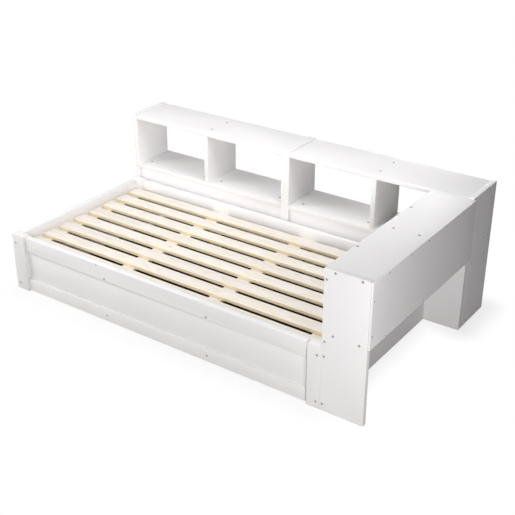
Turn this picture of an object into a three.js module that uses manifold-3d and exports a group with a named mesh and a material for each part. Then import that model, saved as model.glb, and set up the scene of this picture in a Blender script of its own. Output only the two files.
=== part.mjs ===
// Corner day bed: a slatted bed in a low panelled frame, two open bookcase units
// standing behind it, and a bridge shelf across its right end.
// Millimetres. X runs along the bed from its left end, Y from its front to the back, Z up.
import * as THREE from "three";
import { mergeVertices } from "three/addons/utils/BufferGeometryUtils.js";
import Module from "manifold-3d";

// Play left between neighbouring boards
const joint = 0.3;

// Bed frame
const bedLength = 1931;
const bedDepth = 990;
const postHeight = 323;
const postDepth = 47;
const leftPostWidth = 82;
const rightPostWidth = 71;
const railTop = 320;
const topRailHeight = 82;
const bottomRailHeight = 68;
const rearRailHeight = 150;
const floorGap = 6;
const railThickness = 29;
const railSetback = 9;
const leftEndSetback = 12;
const frontBoardGap = 9.5;
const frontPanelShort = 4.5;

// Thin panels held in grooves between the top and bottom rails
const panelThickness = 12;
const panelSetback = 9;
const grooveDepth = 8;
const grooveClearance = 0.4;

// Slats and what carries them
const slatCount = 8;
const slatTop = 285;
const slatThickness = 18;
const slatWidth = 75;
const slatLeftClearance = 27;
const slatRightClearance = 9;
const slatFrontClearance = 2;
const slatRearClearance = 37;
const postClearance = 1;
const bearerThickness = 15;
const bearerWidth = 102;
const crossbarWidth = 74;
const crossbarOffset = 278;
const ledgerHeight = 30;
const ledgerThickness = 25;
const legSize = 45;
const legOffset = 322;

// Bookcase units
const boardThickness = 25;
const unitDepth = 266;
const unitHeight = 715;
const behindBedGap = 4;
const topDrop = 5;
const shelfHeight = 408.5;
const apronHeight = 130;
const apronSetback = 10;

// Bridge shelf; the two bookcase units together are as long as the bed and the bridge
const bridgeWidth = 219;
const bridgeReach = 2;
const bridgeApronHeight = 55;
const endPanelGap = 5;
const outerPanelThickness = 9;
const outerPanelLap = 18.5;
const boardEndGap = 1.5;

// Screw and bolt heads, sunk in the boards
const boltHeadRadius = 6;
const boltHeadClearance = 0.4;
const boltSink = 3;
const screwHeadRadius = 3.5;
const screwSink = 1.5;
const frameBoltInset = 22;
const frameBoltHigh = 275;
const frameBoltLow = 33;
const railBoltMiddle = 973;
const railBoltSpread = 322;
const railBoltHigh = 248;
const railBoltLow = 36;
const frontScrewAlong = 601;
const frontScrewDrop = 9;
const endPanelBoltHigh = 281;
const endPanelBoltLow = 34;
const bridgeBoltInner = 53;
const bridgeBoltOuter = 41;
const shelfBoltInset = 48;
const rightShelfBoltShift = 8;
const shelfBoltSpread = 70;
const sideBoltSpread = 57;
const sideBoltAboveShelf = 30.5;
const braceBoltBelowShelf = 62.5;
const footBoltHeight = 20;
const outerScrewPlaces = [0.175, 0.38];
const outerScrewInset = 18;

// Bolts that join the four units to each other
const connectorRadius = 3;
const connectorHeadRadius = 8;
const connectorHeadHeight = 2.5;
const connectorClearance = 0.3;
const connectorBite = 40;
const endConnectorInset = 36;

// Places worked out from the sizes above
const unitWidth = (bedLength + bridgeWidth) / 2;
const unitFront = bedDepth + behindBedGap;
const length = 2 * unitWidth + bridgeReach + outerPanelThickness;
const depth = unitFront + unitDepth;
const bridgeRight = 2 * unitWidth + bridgeReach;
const bridgeTop = unitHeight - topDrop;
const underTop = bridgeTop - boardThickness;
const underShelf = shelfHeight - boardThickness;
const rearBoardFront = unitFront - boardThickness;
const frontRailBack = railSetback + railThickness;
const rearRailFront = bedDepth - railSetback - railThickness;
const leftRailInside = leftEndSetback + railThickness;
const rightRailInside = bedLength - railSetback - railThickness;
const bedMiddle = (leftRailInside + rightRailInside) / 2;
const bearerTop = slatTop - slatThickness;
const bearerBottom = bearerTop - bearerThickness;
const unitMiddleY = unitFront + unitDepth / 2;
const bridgeMiddleY = (boardThickness + rearBoardFront) / 2;
const outerPanelBottom = shelfHeight - outerPanelLap;
const rightPostInside = bedLength - rightPostWidth;
const frontBoardEnd = rightPostInside - frontBoardGap;
const frontBoardMiddle = (leftPostWidth + frontBoardEnd) / 2;
const cubbyHeight = underTop - shelfHeight;
const sideBoltHeight = shelfHeight + sideBoltAboveShelf;
const braceBoltHeight = shelfHeight - braceBoltBelowShelf;
const outerScrewHeights = [0.15, 0.75].map((part) => shelfHeight + part * cubbyHeight);
const rearConnectorHeights = [0.25, 0.75].map((part) => shelfHeight + part * cubbyHeight);
const connectorLift = shelfHeight + 0.57 * cubbyHeight;
const connectorDrop = underShelf / 2;
const endConnectorHeight = postHeight / 2;

const whitePaint = new THREE.MeshStandardMaterial({ color: 0xf2f1f0, roughness: 0.45, metalness: 0 });
const bareWood = new THREE.MeshStandardMaterial({ color: 0xf3e6cd, roughness: 0.7, metalness: 0 });
const steel = new THREE.MeshStandardMaterial({ color: 0xb9b8b4, roughness: 0.35, metalness: 0.9 });

const wasm = await Module();
wasm.setup();

// A closed mesh with its shared corners merged becomes a solid that can be cut
function solidOf(geometry) {
  const plain = geometry.clone();
  plain.deleteAttribute("normal");
  plain.deleteAttribute("uv");
  const merged = mergeVertices(plain);
  return new wasm.Manifold(new wasm.Mesh({
    numProp: 3,
    vertProperties: new Float32Array(merged.attributes.position.array),
    triVerts: new Uint32Array(merged.index.array),
  }));
}

function geometryOf(solid) {
  const mesh = solid.getMesh();
  const geometry = new THREE.BufferGeometry();
  geometry.setAttribute("position", new THREE.BufferAttribute(mesh.vertProperties, 3));
  geometry.setIndex(new THREE.BufferAttribute(mesh.triVerts, 1));
  geometry.computeVertexNormals();
  return geometry;
}

function boxBetween(low, high) {
  const size = high.map((value, i) => value - low[i]);
  const middle = high.map((value, i) => (value + low[i]) / 2);
  return new THREE.BoxGeometry(...size).translate(...middle);
}

// A round bar centred on a point, lying along one axis
function rodAlong(axis, at, radius, reach, sides = 16) {
  const rod = new THREE.CylinderGeometry(radius, radius, 2 * reach, sides);
  if (axis === "x") rod.rotateZ(Math.PI / 2);
  if (axis === "z") rod.rotateX(Math.PI / 2);
  return rod.translate(...at);
}

// Sunk places for bolt heads: reach is how deep each one goes below the face it is on
function boltSeat(axis, at) {
  return rodAlong(axis, at, boltHeadRadius + boltHeadClearance, boltSink + joint / 2);
}

function screwSeat(axis, at) {
  return rodAlong(axis, at, screwHeadRadius + boltHeadClearance, screwSink + joint / 2, 12);
}

const bed = new THREE.Group();
bed.position.set(-length / 2, -depth / 2, 0);

// A board fills its place less half the play on each side, but stands right on the floor
function board(name, material, low, high, cutters = []) {
  const from = low.map((value, i) => (i === 2 && value === 0 ? 0 : value + joint / 2));
  const to = high.map((value) => value - joint / 2);
  const middle = from.map((value, i) => (value + to[i]) / 2);
  let geometry = boxBetween(from, to).translate(...middle.map((value) => -value));
  if (cutters.length) {
    let solid = solidOf(geometry);
    for (const cutter of cutters) {
      solid = solid.subtract(solidOf(cutter.translate(...middle.map((value) => -value))));
    }
    geometry = geometryOf(solid);
  }
  const mesh = new THREE.Mesh(geometry, material);
  mesh.name = name;
  mesh.position.set(...middle);
  bed.add(mesh);
}

function bedPosts() {
  const heights = [frameBoltHigh, frameBoltLow];
  const rearY = bedDepth - postDepth;
  const rightX = rightPostInside;
  const frontSeats = (x) => heights.map((z) => boltSeat("y", [x, 0, z]));
  const leftSeats = (y) => [railBoltHigh, railBoltLow].map((z) => boltSeat("x", [0, y, z]));
  const frontRailMiddle = railSetback + railThickness / 2;
  board("post_front_left", whitePaint, [0, 0, 0], [leftPostWidth, postDepth, postHeight],
    [...frontSeats(frameBoltInset), ...leftSeats(frontRailMiddle)]);
  board("post_rear_left", whitePaint, [0, rearY, 0], [leftPostWidth, bedDepth, postHeight],
    leftSeats(bedDepth - frontRailMiddle));
  board("post_front_right", whitePaint, [rightX, 0, 0], [bedLength, postDepth, postHeight],
    [...frontSeats(bedLength - frameBoltInset), connectorHole("end", endConnectorInset)]);
  board("post_rear_right", whitePaint, [rightX, rearY, 0], [bedLength, bedDepth, postHeight],
    [connectorHole("end", bedDepth - endConnectorInset)]);
}

// Top rail, grooved panel and bottom rail; along is the axis they run on, face the side
// that shows, out the direction it looks in
function railsAndPanel(side, along, start, end, face, out, seats, panelEnd = end) {
  const span = (offset, thickness) => {
    const near = face - out * offset;
    const far = near - out * thickness;
    return [Math.min(near, far), Math.max(near, far)];
  };
  const place = (from, to, offset, thickness, low, high) => {
    const [a, b] = span(offset, thickness);
    return along === "x" ? [[from, a, low], [to, b, high]] : [[a, from, low], [b, to, high]];
  };
  const topLow = railTop - topRailHeight;
  const bottomHigh = floorGap + bottomRailHeight;
  const groove = (low, high) =>
    boxBetween(...place(start - 1, end + 1, panelSetback - grooveClearance,
      panelThickness + 2 * grooveClearance, low, high));
  const above = grooveDepth + grooveClearance;
  board(side + "_top_rail", whitePaint, ...place(start, end, 0, railThickness, topLow, railTop),
    [groove(topLow - 1, topLow + above), ...seats.high]);
  board(side + "_panel", whitePaint, ...place(start, panelEnd, panelSetback, panelThickness,
    bottomHigh - grooveDepth, topLow + grooveDepth));
  board(side + "_bottom_rail", whitePaint, ...place(start, end, 0, railThickness, floorGap, bottomHigh),
    [groove(bottomHigh - above, bottomHigh + 1), ...seats.low]);
}

function bedSides() {
  const railSeats = (z) => [-railBoltSpread, railBoltSpread].map(
    (offset) => boltSeat("y", [railBoltMiddle + offset, railSetback, z]));
  const strayScrew = screwSeat("y", [frontScrewAlong, railSetback, railTop - frontScrewDrop]);
  railsAndPanel("front", "x", leftPostWidth, frontBoardEnd, railSetback, -1,
    { high: [...railSeats(railBoltHigh), strayScrew], low: railSeats(railBoltLow) },
    frontBoardEnd - frontPanelShort);
  const noSeats = { high: [], low: [] };
  railsAndPanel("left_end", "y", postDepth, bedDepth - postDepth, leftEndSetback, -1, noSeats);
  railsAndPanel("right_end", "y", postDepth, bedDepth - postDepth, bedLength - railSetback, 1, noSeats);
  board("rear_rail", whitePaint, [leftPostWidth, rearRailFront, railTop - rearRailHeight],
    [rightPostInside, rearRailFront + railThickness, railTop]);
}

function slatSupports() {
  const innerFront = postDepth;
  const innerRear = bedDepth - postDepth;
  const ledgerTop = bearerBottom;
  const ends = [
    ["left", leftRailInside, 1],
    ["right", rightRailInside, -1],
  ];
  for (const [side, wall, inward] of ends) {
    const across = (width) => [Math.min(wall, wall + inward * width), Math.max(wall, wall + inward * width)];
    const [bearerLow, bearerHigh] = across(bearerWidth);
    const [ledgerLow, ledgerHigh] = across(ledgerThickness);
    board("bearer_" + side, bareWood, [bearerLow, innerFront, bearerBottom], [bearerHigh, innerRear, bearerTop]);
    board("ledger_" + side, bareWood, [ledgerLow, innerFront, ledgerTop - ledgerHeight],
      [ledgerHigh, innerRear, ledgerTop]);

    const barMiddle = bedMiddle - inward * crossbarOffset;
    const barLow = [barMiddle - crossbarWidth / 2, frontRailBack, bearerBottom];
    const barHigh = [barMiddle + crossbarWidth / 2, rearRailFront, bearerTop];
    board("crossbar_" + side, bareWood, barLow, barHigh);

    // Each leg has a step that the crossbar lies in
    const legMiddle = frontBoardMiddle - inward * legOffset;
    const step = () => boxBetween([barLow[0] - joint / 2, barLow[1], barLow[2]],
      [barHigh[0] + joint / 2, barHigh[1], barHigh[2] + 1]);
    const rows = [
      ["front", frontRailBack],
      ["rear", rearRailFront - legSize],
    ];
    for (const [row, y] of rows) {
      board("leg_" + row + "_" + side, bareWood, [legMiddle - legSize / 2, y, 0],
        [legMiddle + legSize / 2, y + legSize, bearerTop], [step()]);
    }
  }
}

function slats() {
  const free = rearRailFront - frontRailBack - slatFrontClearance - slatRearClearance;
  const pitch = (free - slatWidth) / (slatCount - 1);
  const postNotches = () => [
    boxBetween([-1, -1, 0], [leftPostWidth + postClearance, postDepth + postClearance, railTop]),
    boxBetween([rightPostInside - postClearance, -1, 0], [bedLength, postDepth + postClearance, railTop]),
  ];
  for (let i = 0; i < slatCount; i++) {
    const y = frontRailBack + slatFrontClearance + i * pitch;
    const notches = y < postDepth + postClearance ? postNotches() : [];
    board("slat_" + (i + 1), bareWood, [leftRailInside + slatLeftClearance, y, bearerTop],
      [rightRailInside - slatRightClearance, y + slatWidth, slatTop], notches);
  }
}

function bookcaseUnit(side, start) {
  const end = start + unitWidth;
  const insideLeft = start + boardThickness;
  const insideRight = end - boardThickness;
  const middle = (insideLeft + insideRight) / 2;
  const dividerLeft = middle - boardThickness / 2;
  const dividerRight = middle + boardThickness / 2;
  const pair = (spread) => [unitMiddleY - spread, unitMiddleY + spread];
  const outward = side === "left" ? -1 : 1;
  const outerFace = outward < 0 ? start : end;

  const outerSeats = [
    ...pair(sideBoltSpread).map((y) => boltSeat("x", [outerFace, y, bridgeTop - boardThickness / 2])),
    ...pair(sideBoltSpread).map((y) => boltSeat("x", [outerFace, y, sideBoltHeight])),
    ...pair(shelfBoltSpread).map((y) => boltSeat("x", [outerFace, y, braceBoltHeight])),
    ...pair(shelfBoltSpread).map((y) => boltSeat("x", [outerFace, y, footBoltHeight])),
  ];
  const innerHoles = () => [connectorHole("unit", connectorLift), connectorHole("unit", connectorDrop)];
  const rearHoles = () => rearConnectorHeights.map((z) => connectorHole("rear", z));
  const sideHoles = {
    left: outward < 0 ? outerSeats : innerHoles(),
    right: outward < 0 ? innerHoles() : [...outerSeats, ...rearHoles()],
  };
  board(side + "_unit_side_left", whitePaint, [start, unitFront, 0], [insideLeft, depth, unitHeight],
    sideHoles.left);
  board(side + "_unit_side_right", whitePaint, [insideRight, unitFront, 0], [end, depth, unitHeight],
    sideHoles.right);
  board(side + "_unit_top", whitePaint, [insideLeft, unitFront, underTop], [insideRight, depth, bridgeTop],
    pair(shelfBoltSpread).map((y) => boltSeat("z", [middle, y, bridgeTop])));
  board(side + "_unit_divider", whitePaint, [dividerLeft, unitFront, shelfHeight],
    [dividerRight, depth, underTop]);

  const shift = side === "left" ? 0 : rightShelfBoltShift;
  const shelfBolts = [insideLeft + shelfBoltInset, dividerLeft - shelfBoltInset,
    dividerRight + shelfBoltInset, insideRight - shelfBoltInset].map((x) => x + shift);
  board(side + "_unit_shelf", whitePaint, [insideLeft, unitFront, underShelf],
    [insideRight, depth, shelfHeight],
    shelfBolts.flatMap((x) => pair(shelfBoltSpread).map((y) => boltSeat("z", [x, y, shelfHeight]))));
  board(side + "_unit_apron", whitePaint, [insideLeft, unitFront + apronSetback, underShelf - apronHeight],
    [insideRight, unitFront + apronSetback + boardThickness, underShelf]);
}

function bridgeShelf() {
  const inner = bedLength;
  const innerBoard = inner + boardThickness;
  const innerMiddle = inner + boardThickness / 2;
  const boltColumns = [inner + bridgeBoltInner, bridgeRight - bridgeBoltOuter];
  const dividerFront = bridgeMiddleY - boardThickness / 2;
  const dividerRear = bridgeMiddleY + boardThickness / 2;
  const upperApronLow = underTop - bridgeApronHeight;
  const lowerApronLow = postHeight + endPanelGap;
  const boardRight = bridgeRight - boardEndGap;

  const frontSeats = [
    [innerMiddle, endPanelBoltLow],
    [innerMiddle, endPanelBoltHigh],
    [innerMiddle, (lowerApronLow + underShelf) / 2],
    [innerMiddle, upperApronLow + bridgeApronHeight / 2],
    ...boltColumns.map((x) => [x, underShelf + boardThickness / 2]),
    ...boltColumns.map((x) => [x, underTop + boardThickness / 2]),
  ];
  board("bridge_front_board", whitePaint, [inner, 0, 0], [boardRight, boardThickness, bridgeTop],
    frontSeats.map(([x, z]) => boltSeat("y", [x, 0, z])));
  board("bridge_rear_board", whitePaint, [inner, rearBoardFront, 0], [boardRight, unitFront, bridgeTop],
    rearConnectorHeights.map((z) => connectorHole("rear", z)));

  const topSeats = [
    [innerMiddle, unitFront / 4],
    [innerMiddle, 3 * unitFront / 4],
    ...boltColumns.map((x) => [x, bridgeMiddleY]),
  ];
  board("bridge_top", whitePaint, [inner, boardThickness, underTop], [bridgeRight, rearBoardFront, bridgeTop],
    topSeats.map(([x, y]) => boltSeat("z", [x, y, bridgeTop])));
  board("bridge_shelf", whitePaint, [inner, boardThickness, underShelf],
    [bridgeRight, rearBoardFront, shelfHeight]);
  board("bridge_divider", whitePaint, [inner, dividerFront, shelfHeight], [bridgeRight, dividerRear, underTop]);
  board("bridge_upper_apron_front", whitePaint, [inner, boardThickness, upperApronLow],
    [innerBoard, dividerFront, underTop]);
  board("bridge_upper_apron_rear", whitePaint, [inner, dividerRear, upperApronLow],
    [innerBoard, rearBoardFront, underTop]);
  board("bridge_lower_apron", whitePaint, [inner, boardThickness, lowerApronLow],
    [innerBoard, rearBoardFront, underShelf]);
  board("bridge_end_panel", whitePaint, [inner, boardThickness, 0],
    [innerBoard, rearBoardFront, postHeight],
    [connectorHole("end", endConnectorInset), connectorHole("end", bedDepth - endConnectorInset)]);

  const outerFace = bridgeRight + outerPanelThickness;
  const screwPitch = outerScrewPlaces.map((part) => part * (rearBoardFront - boardThickness));
  const rowYs = [0, ...screwPitch, ...screwPitch.map((y) => -y)].map((y) => bridgeMiddleY + y);
  const outerSeats = [
    ...rowYs.map((y) => [y, underTop + boardThickness / 2]),
    ...rowYs.map((y) => [y, underShelf + boardThickness / 2]),
    ...outerScrewHeights.map((z) => [outerScrewInset, z]),
  ];
  board("bridge_outer_panel", whitePaint, [bridgeRight, 0, outerPanelBottom],
    [outerFace, unitFront, bridgeTop], outerSeats.map(([y, z]) => screwSeat("x", [outerFace, y, z])));
}

// Where each connecting bolt runs: its axis, the face its head lies on and where it ends
function connectorRun(kind, value) {
  if (kind === "unit") {
    return { axis: "x", at: [0, unitMiddleY, value], from: unitWidth + boardThickness,
      to: unitWidth - boardThickness, ends: 2 };
  }
  if (kind === "end") {
    return { axis: "x", at: [0, value, endConnectorHeight], from: bedLength + boardThickness,
      to: bedLength - connectorBite, ends: 1 };
  }
  return { axis: "y", at: [2 * unitWidth - boardThickness / 2, 0, value], from: rearBoardFront,
    to: unitFront + connectorBite, ends: 1 };
}

function connectorHole(kind, value) {
  const { axis, at, from, to, ends } = connectorRun(kind, value);
  const slot = axis === "x" ? 0 : 1;
  const middle = at.map((number, i) => (i === slot ? (from + to) / 2 : number));
  const past = ends === 2 ? 1 : connectorClearance;
  const reach = Math.abs(from - to) / 2 + past;
  return rodAlong(axis, middle, connectorRadius + connectorClearance, reach, 12);
}

// A turned bolt: a flat head, a shank, and a second head where a sleeve nut closes it
function connector(name, kind, value) {
  const { axis, at, from, to, ends } = connectorRun(kind, value);
  const span = Math.abs(from - to);
  const headBase = -joint / 2;
  const tip = ends === 2 ? span + joint / 2 : span;
  const profile = [
    [0, headBase - connectorHeadHeight],
    [connectorHeadRadius, headBase - connectorHeadHeight],
    [connectorHeadRadius, headBase],
    [connectorRadius, headBase],
    [connectorRadius, tip],
  ];
  if (ends === 2) {
    profile.push([connectorHeadRadius, tip], [connectorHeadRadius, tip + connectorHeadHeight]);
    profile.push([0, tip + connectorHeadHeight]);
  } else {
    profile.push([0, tip]);
  }
  const bolt = new THREE.LatheGeometry(profile.map(([r, h]) => new THREE.Vector2(r, h)), 12);
  const mesh = new THREE.Mesh(geometryOf(solidOf(bolt)), steel);
  mesh.name = name;
  const slot = axis === "x" ? 0 : 1;
  mesh.position.set(...at.map((number, i) => (i === slot ? from : number)));
  const direction = Math.sign(to - from);
  if (axis === "x") mesh.rotation.z = -direction * Math.PI / 2;
  if (axis === "y" && direction < 0) mesh.rotation.z = Math.PI;
  bed.add(mesh);
}

function connectors() {
  connector("unit_bolt_upper", "unit", connectorLift);
  connector("unit_bolt_lower", "unit", connectorDrop);
  connector("end_bolt_front", "end", endConnectorInset);
  connector("end_bolt_rear", "end", bedDepth - endConnectorInset);
  connector("bridge_bolt_lower", "rear", rearConnectorHeights[0]);
  connector("bridge_bolt_upper", "rear", rearConnectorHeights[1]);
}

bedPosts();
bedSides();
slatSupports();
slats();
bookcaseUnit("left", 0);
bookcaseUnit("right", unitWidth);
bridgeShelf();
connectors();

const dayBed = new THREE.Group();
dayBed.add(bed);
export default dayBed;
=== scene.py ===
"""Corner day bed: painted boards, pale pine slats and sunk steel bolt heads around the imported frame."""

import math

import bmesh
import bpy
from bpy.props import FloatProperty, FloatVectorProperty, IntProperty, PointerProperty
from bpy.types import Operator, Panel, PropertyGroup
from mathutils import Matrix, Vector


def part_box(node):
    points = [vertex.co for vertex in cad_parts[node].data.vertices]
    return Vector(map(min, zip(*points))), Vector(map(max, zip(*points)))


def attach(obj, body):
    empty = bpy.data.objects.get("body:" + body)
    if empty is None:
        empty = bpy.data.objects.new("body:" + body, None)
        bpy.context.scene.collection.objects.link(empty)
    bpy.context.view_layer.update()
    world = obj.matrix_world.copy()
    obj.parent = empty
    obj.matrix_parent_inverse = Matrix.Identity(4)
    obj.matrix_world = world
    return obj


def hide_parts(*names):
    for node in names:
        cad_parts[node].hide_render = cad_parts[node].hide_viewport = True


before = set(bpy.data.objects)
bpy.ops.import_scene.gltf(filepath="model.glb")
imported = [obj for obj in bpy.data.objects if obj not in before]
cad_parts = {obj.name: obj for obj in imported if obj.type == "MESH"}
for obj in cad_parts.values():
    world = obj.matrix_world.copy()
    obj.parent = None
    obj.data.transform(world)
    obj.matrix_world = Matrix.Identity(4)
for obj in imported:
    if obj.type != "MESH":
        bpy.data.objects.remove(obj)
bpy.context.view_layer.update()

bl_info = {
    "name": "Corner day bed",
    "version": (1, 0, 0),
    "blender": (4, 5, 0),
    "location": "3D View > Sidebar > Day bed",
    "description": "Builds the boards, slats, bolt heads and studio of a corner day bed",
    "category": "Object",
}

MM = 0.001
DEEPEST_SEAT = 5 * MM
SLAT_SEAT_DEPTH = 2 * MM
SLAT_HEAD_HEIGHT = 1.6 * MM
TOLERANCE = 0.1 * MM  # how far measured points may stray
PAST_END = 0.1  # how far a groove's cutter runs past the board, in metres
HARD_EDGE = math.radians(40)  # sharper turns than this get an arris
SMOOTH_BELOW = math.radians(32)
HEAD_TURN = math.radians(17)  # from one bolt head to the next
SATIN_SPECULAR = 0.25
SHADE_RIM = 15 * MM
GOLDEN_SHARE = 0.618034  # spreads the planks' tones evenly
BOARD_SHIFT = 3.7  # metres of grain from one board's cut to the next


class BoardSizes(PropertyGroup):
    """Sizes of the boards' finish."""

    arris: FloatProperty(
        name="Board arris", description="Radius of a painted board's softened edge",
        default=0.6 * MM, min=0.0, unit="LENGTH")
    thin_arris: FloatProperty(
        name="Panel arris", description="Radius of a thin panel's softened edge",
        default=0.5 * MM, min=0.0, unit="LENGTH")
    slat_arris: FloatProperty(
        name="Slat arris", description="Radius of a planed slat's softened edge",
        default=1.2 * MM, min=0.0, unit="LENGTH")
    slat_end: FloatProperty(
        name="Slat end corner", description="Radius of a slat's corners seen from above",
        default=7 * MM, min=0.0, unit="LENGTH")
    arris_steps: IntProperty(
        name="Arris steps", description="Faces across each softened edge", default=3, min=1)
    seat_flare: FloatProperty(
        name="Seat flare", description="How far the countersunk rim of a bolt seat opens",
        default=0.6 * MM, min=0.0, unit="LENGTH")
    groove_play: FloatProperty(
        name="Groove play", description="Room between a thin panel and the groove it sits in",
        default=0.4 * MM, min=0.0, unit="LENGTH")


class FastenerSizes(PropertyGroup):
    """Sizes of the bolt and screw heads, as shares of the seat they sit in."""

    head_share: FloatProperty(
        name="Head width", description="Head radius as a share of its seat's radius", default=0.94,
        min=0.1, max=1.0)
    sink: FloatProperty(
        name="Head sink", description="How far a head's top lies under the board's face",
        default=0.5 * MM, min=0.0, unit="LENGTH")
    socket_share: FloatProperty(
        name="Socket width", description="Six-sided socket radius as a share of the head's radius",
        default=0.46, min=0.1, max=0.9)
    socket_depth: FloatProperty(
        name="Socket depth", description="Depth of the six-sided socket",
        default=1.6 * MM, min=0.0, unit="LENGTH")
    slat_screw: FloatProperty(
        name="Slat screw seat", description="Radius of the seats of the screws that hold the slats",
        default=3.4 * MM, min=1 * MM, unit="LENGTH")
    cross_depth: FloatProperty(
        name="Cross slot depth", description="Depth of a small screw's cross slot",
        default=0.8 * MM, min=0.0, unit="LENGTH")


class GrainSizes(PropertyGroup):
    """Sizes of the pine's figure."""

    ring_width: FloatProperty(
        name="Ring width", description="Distance between two growth rings", default=7.5 * MM,
        min=1 * MM, unit="LENGTH")
    heart_drift: FloatProperty(
        name="Heart drift", description="How far the tree's heart wanders sideways under a board",
        default=110 * MM, min=0.0, unit="LENGTH")
    heart_depth: FloatProperty(
        name="Heart depth", description="How far the tree's heart lies under a board", default=90 * MM,
        min=0.0, unit="LENGTH")
    ripple: FloatProperty(
        name="Ripple", description="Unevenness of the growth rings", default=6 * MM, min=0.0,
        unit="LENGTH")
    knot_place: FloatVectorProperty(
        name="Knot place", description="Where the soft knot lies on the slats", subtype="TRANSLATION",
        size=3, default=(-0.345, -0.205, 0.285))
    knot_reach: FloatProperty(
        name="Knot reach", description="How far the grain is swept round the knot", default=26 * MM,
        min=1 * MM, unit="LENGTH")
    knot_sweep: FloatProperty(
        name="Knot sweep", description="How strongly the grain is swept round the knot",
        default=30 * MM, min=0.0, unit="LENGTH")


class FinishColours(PropertyGroup):
    """Colours of the paint, pine and steel."""

    paint: FloatVectorProperty(
        name="Paint", description="White satin paint", subtype="COLOR", size=3,
        default=(0.89, 0.875, 0.882), min=0.0, max=1.0)
    paint_shade: FloatVectorProperty(
        name="Paint shade", description="Paint where the coat is a little thinner", subtype="COLOR",
        size=3, default=(0.872, 0.856, 0.862), min=0.0, max=1.0)
    early_wood: FloatVectorProperty(
        name="Early wood", description="Pale pine between the growth rings", subtype="COLOR", size=3,
        default=(0.867, 0.82, 0.757), min=0.0, max=1.0)
    late_wood: FloatVectorProperty(
        name="Late wood", description="Darker growth rings of the pine", subtype="COLOR", size=3,
        default=(0.83, 0.756, 0.638), min=0.0, max=1.0)
    # Upright faces of the pine take this colour: partly a deeper tone of the wood, partly painted shade
    # standing in for the warm shade between the slats.
    upright_tone_and_shade: FloatVectorProperty(
        name="Upright wood", description="Deeper tone of a board's sawn edges", subtype="COLOR", size=3,
        default=(0.97, 0.87, 0.665), min=0.0, max=1.0)
    knot: FloatVectorProperty(
        name="Knot", description="Heart of a pine knot", subtype="COLOR", size=3,
        default=(0.70, 0.54, 0.38), min=0.0, max=1.0)
    steel: FloatVectorProperty(
        name="Steel", description="Plain zinc-plated steel", subtype="COLOR", size=3,
        default=(0.52, 0.51, 0.49), min=0.0, max=1.0)
    head_paint: FloatVectorProperty(
        name="Head paint", description="White paint on the heads that were painted over",
        subtype="COLOR", size=3, default=(0.80, 0.79, 0.78), min=0.0, max=1.0)
    # Painted shade: level and right-hand bolt heads are darkened by this colour, standing in for the
    # shade in their seats and on the bed's right side.
    painted_shade: FloatVectorProperty(
        name="Painted_shade steel", description="How much darker the level and right-hand heads are",
        subtype="COLOR", size=3, default=(0.28, 0.28, 0.27), min=0.0, max=1.0)
    # Painted shade: the bottom rails' ledges take a darker paint colour, standing in for the shade the
    # ledge lies in below the set-back panel.
    painted_ledge_shade: FloatVectorProperty(
        name="Painted_shade ledge", description="How much darker the paint on the bottom rails' ledges is",
        subtype="COLOR", size=3, default=(0.86, 0.85, 0.84), min=0.0, max=1.0)
    slat_heads: FloatProperty(
        name="Slat screws", description="How far the slats' screw heads are painted over", default=1.0,
        min=0.0, max=1.0, subtype="FACTOR")


AT_BED, AT_UNITS = (0, 0, 0.4), (-0.8, 0.6, 0.3)
# name, what it is, power in watts, width, place, and what it points at
LAMPS = (
    ("front_lamp", "large far lamp in front", 107.7, 1.8, (3.329, -5.765, 2.363), AT_BED),
    ("high_lamp", "raised lamp in front", 26.4, 1.6, (0, -3.398, 2.669), AT_BED),
    ("left_lamp", "large lamp at the front left", 77.6, 1.6, (-3.323, -1.918, 1.908), AT_BED),
    ("rear_lamp", "low lamp behind the bookcases", 21.2, 1.0, (0, 2.705, 0.925), AT_BED),
    ("shelf_lamp", "lamp above the bookcases' left end", 17.5, 1.2, (-1.6, 0.6, 2.6), (-1.6, 0.8, 0.4)),
    ("near_lamp", "small lamp in front of the bed", 4.5, 0.7, (-0.4, -1.2, 1.4), AT_UNITS),
    ("well_lamp", "small lamp over the middle of the bed", 1.6, 0.7, (-0.4, 0, 1.4), AT_UNITS),
    ("bed_lamp", "small lamp above the bed's right end", 14.3, 0.7, (0.8, 0, 2), AT_UNITS),
    ("right_lamp", "small lamp at the front right", 14.8, 0.5, (2.2, -1.6, 0.9), (1.08, -0.4, 0.35)),
)


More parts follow.
